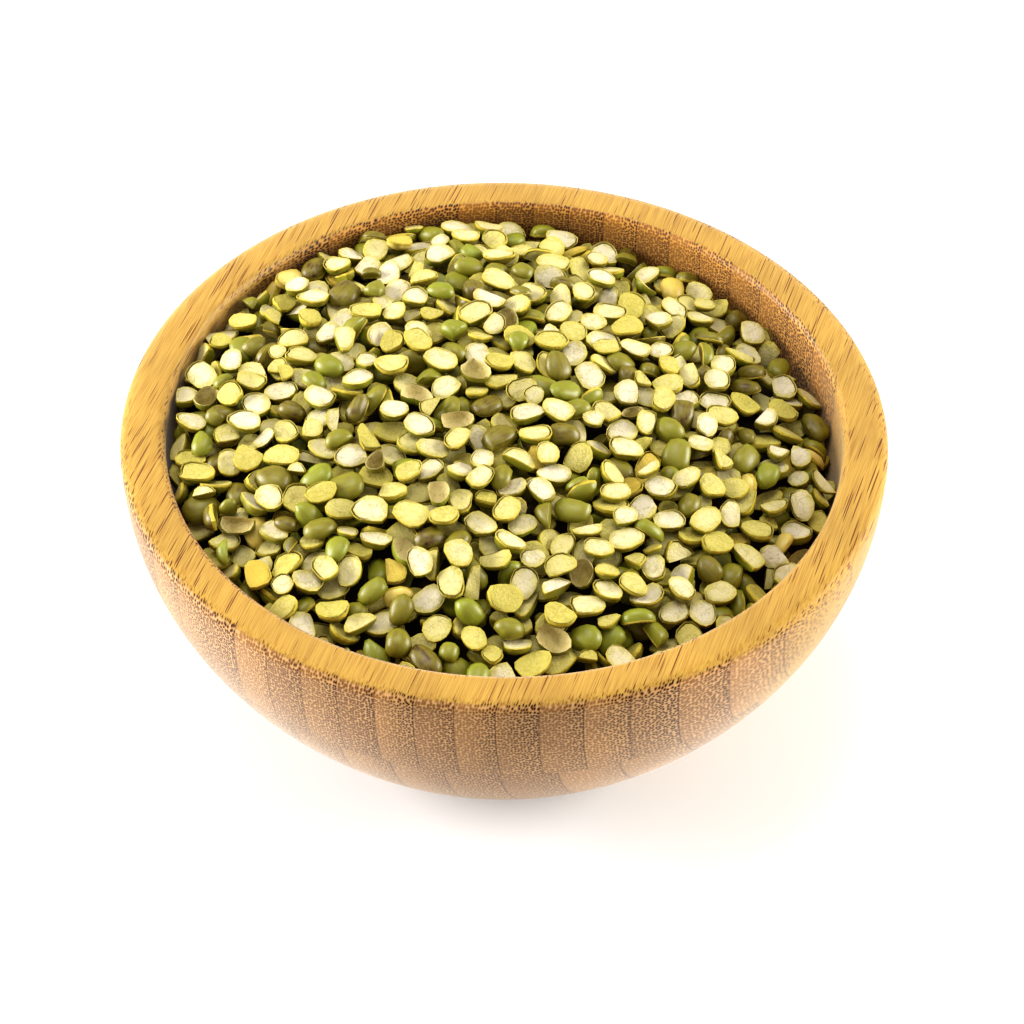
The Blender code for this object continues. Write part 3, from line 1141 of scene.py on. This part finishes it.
    # The skin stops short of the cut face by a different amount on each half
    bared = add(tree, "ShaderNodeMapRange", None, {0: tone, 3: -0.22, 4: 0.18})
    reach = add(
        tree,
        "ShaderNodeMath",
        {"operation": "MULTIPLY_ADD"},
        {0: wander.outputs[0], 1: 0.5, 2: bared.outputs[0]},
    )
    skin_here = add(
        tree,
        "ShaderNodeMath",
        {"operation": "ADD"},
        {0: reach.outputs[0], 1: marks["skin"].outputs["Fac"]},
    )
    is_skin = add(
        tree,
        "ShaderNodeMapRange",
        {"interpolation_type": "SMOOTHSTEP"},
        {0: skin_here.outputs[0], 1: 0.50, 2: 0.66},
    )
    is_side = add(
        tree,
        "ShaderNodeMapRange",
        {"interpolation_type": "SMOOTHSTEP"},
        {0: marks["skin"].outputs["Fac"], 1: 0.05, 2: 0.30},
    )
    sided = add(
        tree,
        "ShaderNodeMix",
        {"data_type": "RGBA"},
        {0: is_side.outputs[0], 6: lined.outputs[2], 7: linear(side_code)},
    )
    both = add(
        tree,
        "ShaderNodeMix",
        {"data_type": "RGBA"},
        {0: is_skin.outputs[0], 6: sided.outputs[2], 7: skin.outputs[0]},
    )
    # Where the skin gapes, it is painted near-black: painted shade in the crack
    cracked = add(
        tree,
        "ShaderNodeMix",
        {"data_type": "RGBA"},
        {0: marks["crack"].outputs["Fac"], 6: both.outputs[2], 7: linear(CRACK)},
    )
    relief = add(
        tree,
        "ShaderNodeMath",
        {"operation": "MULTIPLY_ADD"},
        {0: crease.outputs[0], 1: -0.5, 2: fine.outputs["Fac"]},
    )
    smoother = add(tree, "ShaderNodeMapRange", None, {0: is_skin.outputs[0], 3: 1, 4: 0.10})
    relief_here = add(
        tree,
        "ShaderNodeMath",
        {"operation": "MULTIPLY"},
        {0: relief.outputs[0], 1: smoother.outputs[0]},
    )
    bump = add(
        tree,
        "ShaderNodeBump",
        None,
        {"Strength": 1.0, "Distance": 0.16 * MM, "Height": relief_here.outputs[0]},
    )

    # The cut face is mealy and matt, the skin waxy
    roughness = add(tree, "ShaderNodeMapRange", None, {0: is_skin.outputs[0], 3: 0.60, 4: 0.40})
    gloss = add(tree, "ShaderNodeMapRange", None, {0: is_skin.outputs[0], 3: 0.16, 4: 0.40})
    tree.links.new(cracked.outputs[2], shader.inputs["Base Color"])
    tree.links.new(roughness.outputs[0], shader.inputs["Roughness"])
    tree.links.new(gloss.outputs[0], shader.inputs["Specular IOR Level"])
    tree.links.new(bump.outputs[0], shader.inputs["Normal"])
    return material


def make_core():
    """The body under the loose halves, dark with painted shade: a bowl-shaped solid with a domed top."""
    bm = bmesh.new()
    arc_radius = INNER_ARC_RADIUS - CORE_GAP
    floor = INNER_ARC_CENTRE[1] - INNER_ARC_RADIUS + CORE_GAP
    reach = CORE_RADIUS * MM
    bmesh.ops.create_circle(bm, cap_ends=True, segments=CORE_TURNS, radius=reach)
    for _ in range(CORE_RINGS - 1):
        cap = [f for f in bm.faces if len(f.verts) > 4]
        bmesh.ops.inset_region(bm, faces=cap, thickness=reach / CORE_RINGS)
    bmesh.ops.poke(bm, faces=[f for f in bm.faces if len(f.verts) > 4])
    for v in bm.verts:
        x, y = v.co.x / MM, v.co.y / MM
        v.co.z = (float(grain_level(x, y)) - LOOSE_DEPTH - CORE_BELOW_LOOSE) * MM
    outline = [e for e in bm.edges if e.is_boundary]
    for share in CORE_WALL_STEPS:
        grown = bmesh.ops.extrude_edge_only(bm, edges=outline)
        ring = [g for g in grown["geom"] if isinstance(g, bmesh.types.BMVert)]
        outline = [g for g in grown["geom"] if isinstance(g, bmesh.types.BMEdge)]
        for v in ring:
            v.co.z = v.co.z + (floor - v.co.z) * share
            drop = max(INNER_ARC_CENTRE[1] - v.co.z, 0)
            r = INNER_ARC_CENTRE[0] + math.sqrt(max(arc_radius**2 - drop**2, 0))
            way = Vector((v.co.x, v.co.y)).normalized() * r
            v.co.x, v.co.y = way.x, way.y
    bmesh.ops.contextual_create(bm, geom=outline)
    bmesh.ops.recalc_face_normals(bm, faces=bm.faces)
    core = object_from(bm, "lentil_core")
    core.data.shade_smooth()
    core.data.materials.append(shade_and_dust_finish())
    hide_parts("lentils")


def shade_and_dust_finish():
    """The mass of halves and dust far down between the pieces that show, in painted shade: matt and nearly
    black.
    """
    material, tree, shader = new_material("painted_shade_and_dust")
    place = add(tree, "ShaderNodeTexCoord")
    specks = add(
        tree,
        "ShaderNodeTexNoise",
        None,
        {"Vector": place.outputs["Object"], "Scale": SPECKS_PER_METRE},
    )
    colour = add(tree, "ShaderNodeValToRGB", {"stops": SHADE_AND_DUST_STOPS}, {0: specks.outputs["Fac"]})
    tree.links.new(colour.outputs[0], shader.inputs["Base Color"])
    shader.inputs["Roughness"].default_value = 0.9
    return material


def make_lentils():
    """Drops the halves, sorts them by what they show and joins each kind into one piece."""
    rng = np.random.default_rng(SEED)
    halves, seen = pile_up(rng)
    skinned = split_pulse(
        "split_gram_in_skin",
        CUT_FACE_STOPS,
        CUT_FACE_BORDER,
        CUT_FACE_FOLD,
        CUT_FACE_CREASE,
        BARED_SIDE,
        SKIN_STOPS,
    )
    bare = split_pulse(
        "peeled_split_gram",
        PEELED_STOPS,
        PEELED_SIDE,
        PEELED_FOLD,
        PEELED_SIDE,
        PEELED_SIDE,
        PEELED_STOPS,
    )
    shell = split_pulse(
        "loose_seed_coat",
        SHELL_STOPS,
        SHELL_EDGE,
        SHELL_EDGE,
        CUT_FACE_CREASE,
        SHELL_EDGE,
        SKIN_STOPS,
    )
    open_master = half_master(OPEN_RINGS, HALF_SIDES)
    domed_master = half_master(DOMED_RINGS, HALF_SIDES)
    shell_master = half_master(SHELL_RINGS, HALF_SIDES)
    buried_master = half_master(BURIED_RINGS, BURIED_SIDES)
    draw = rng.random(len(halves))
    kinds = {"faces_up": [], "domes_up": [], "peeled": [], "shells": [], "buried": []}
    spots = np.array([place for place, _, _ in halves])
    # Halves that lie deep or show little are given a darker tone: painted shade
    below = grain_level(spots[:, 0], spots[:, 1]) - spots[:, 2]
    sunk = np.clip((below - SHADE_START) / SHADE_DEPTH, 0, 1)
    bared = np.minimum(seen / FULLY_SEEN_CELLS, 1) * (1 - sunk)
    for laid, cells, share, lit in zip(halves, seen, draw, bared):
        half = (*laid, lit)
        # Halves that barely show are drawn skin all round and dark: painted shade in the gaps
        if cells <= SEEN_CELLS:
            kinds["buried"].append(half)
        elif share < PEELED_SHARE:
            kinds["peeled"].append(half)
        elif half[1][2, 2] > 0:
            kinds["domes_up"].append(half)
        elif share < PEELED_SHARE + LOOSE_SKIN_SHARE:
            kinds["shells"].append(half)
        else:
            kinds["faces_up"].append(half)
    strew("halves_face_up", open_master, kinds["faces_up"], rng, skinned)
    strew("halves_dome_up", domed_master, kinds["domes_up"], rng, skinned)
    strew("peeled_halves", open_master, kinds["peeled"], rng, bare)
    strew("loose_skins", shell_master, kinds["shells"], rng, shell)
    strew("buried_halves", buried_master, kinds["buried"], rng, skinned)


def make_camera():
    """Looks from the photo's angle, with the rim's centre on its own pixel of the square frame."""
    camera = bpy.data.objects.new("camera", bpy.data.cameras.new("camera"))
    bpy.context.scene.collection.objects.link(camera)
    camera.data.sensor_width = SENSOR_WIDTH
    camera.data.lens = FOCAL_PIXELS * SENSOR_WIDTH / FRAME_PIXELS
    target = Vector((0, 0, BOWL_HEIGHT))
    back = Vector((0, -math.cos(CAMERA_ELEVATION), math.sin(CAMERA_ELEVATION)))
    middle = FRAME_PIXELS / 2
    aim = Vector((RIM_CENTRE_PIXEL[0] - middle, middle - RIM_CENTRE_PIXEL[1], -FOCAL_PIXELS))
    level = (-back).to_track_quat("-Z", "Y")
    roll = Matrix.Rotation(CAMERA_ROLL, 3, "Z").to_quaternion()
    off_centre = aim.rotation_difference(Vector((0, 0, -1)))
    camera.rotation_mode = "QUATERNION"
    camera.rotation_quaternion = level @ roll @ off_centre
    camera.location = target + back * CAMERA_DISTANCE
    camera.data.clip_start = 0.01
    camera.data.clip_end = 10
    bpy.context.scene.camera = camera


def soft_light(name, place, aim, power):
    light = bpy.data.lights.new(name, "AREA")
    light.shape = "DISK"
    light.size = SOFTBOX_SIZE
    light.energy = power
    lamp = bpy.data.objects.new(name, light)
    bpy.context.scene.collection.objects.link(lamp)
    lamp.location = place
    lamp.rotation_euler = (Vector(aim) - Vector(place)).to_track_quat("-Z", "Y").to_euler()


def make_studio():
    """A white table, low softboxes to the left and the right of it and a weaker one above."""
    bm = bmesh.new()
    bmesh.ops.create_circle(bm, cap_ends=True, segments=64, radius=TABLE_RADIUS)
    floor = object_from(bm, "floor")
    material, _, shader = new_material("white_light_table")
    shader.inputs["Base Color"].default_value = TABLE_COLOUR
    shader.inputs["Roughness"].default_value = 0.8
    shader.inputs["Emission Color"].default_value = (1, 1, 1, 1)
    shader.inputs["Emission Strength"].default_value = TABLE_GLOW
    floor.data.materials.append(material)
    world = bpy.data.worlds.new("studio")
    bpy.context.scene.world = world
    world.use_nodes = True
    sky = world.node_tree.nodes["Background"]
    sky.inputs["Color"].default_value = ROOM_COLOUR
    sky.inputs["Strength"].default_value = ROOM_STRENGTH
    for softbox in SOFTBOXES:
        soft_light(*softbox)
    bpy.context.scene.view_settings.view_transform = "Standard"
    bpy.context.scene.view_settings.look = "Medium High Contrast"


make_bowl()
make_core()
make_lentils()
make_camera()
make_studio()

for name in OWN_PIECES:
    piece = bpy.data.objects[name]
    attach(piece, "root")
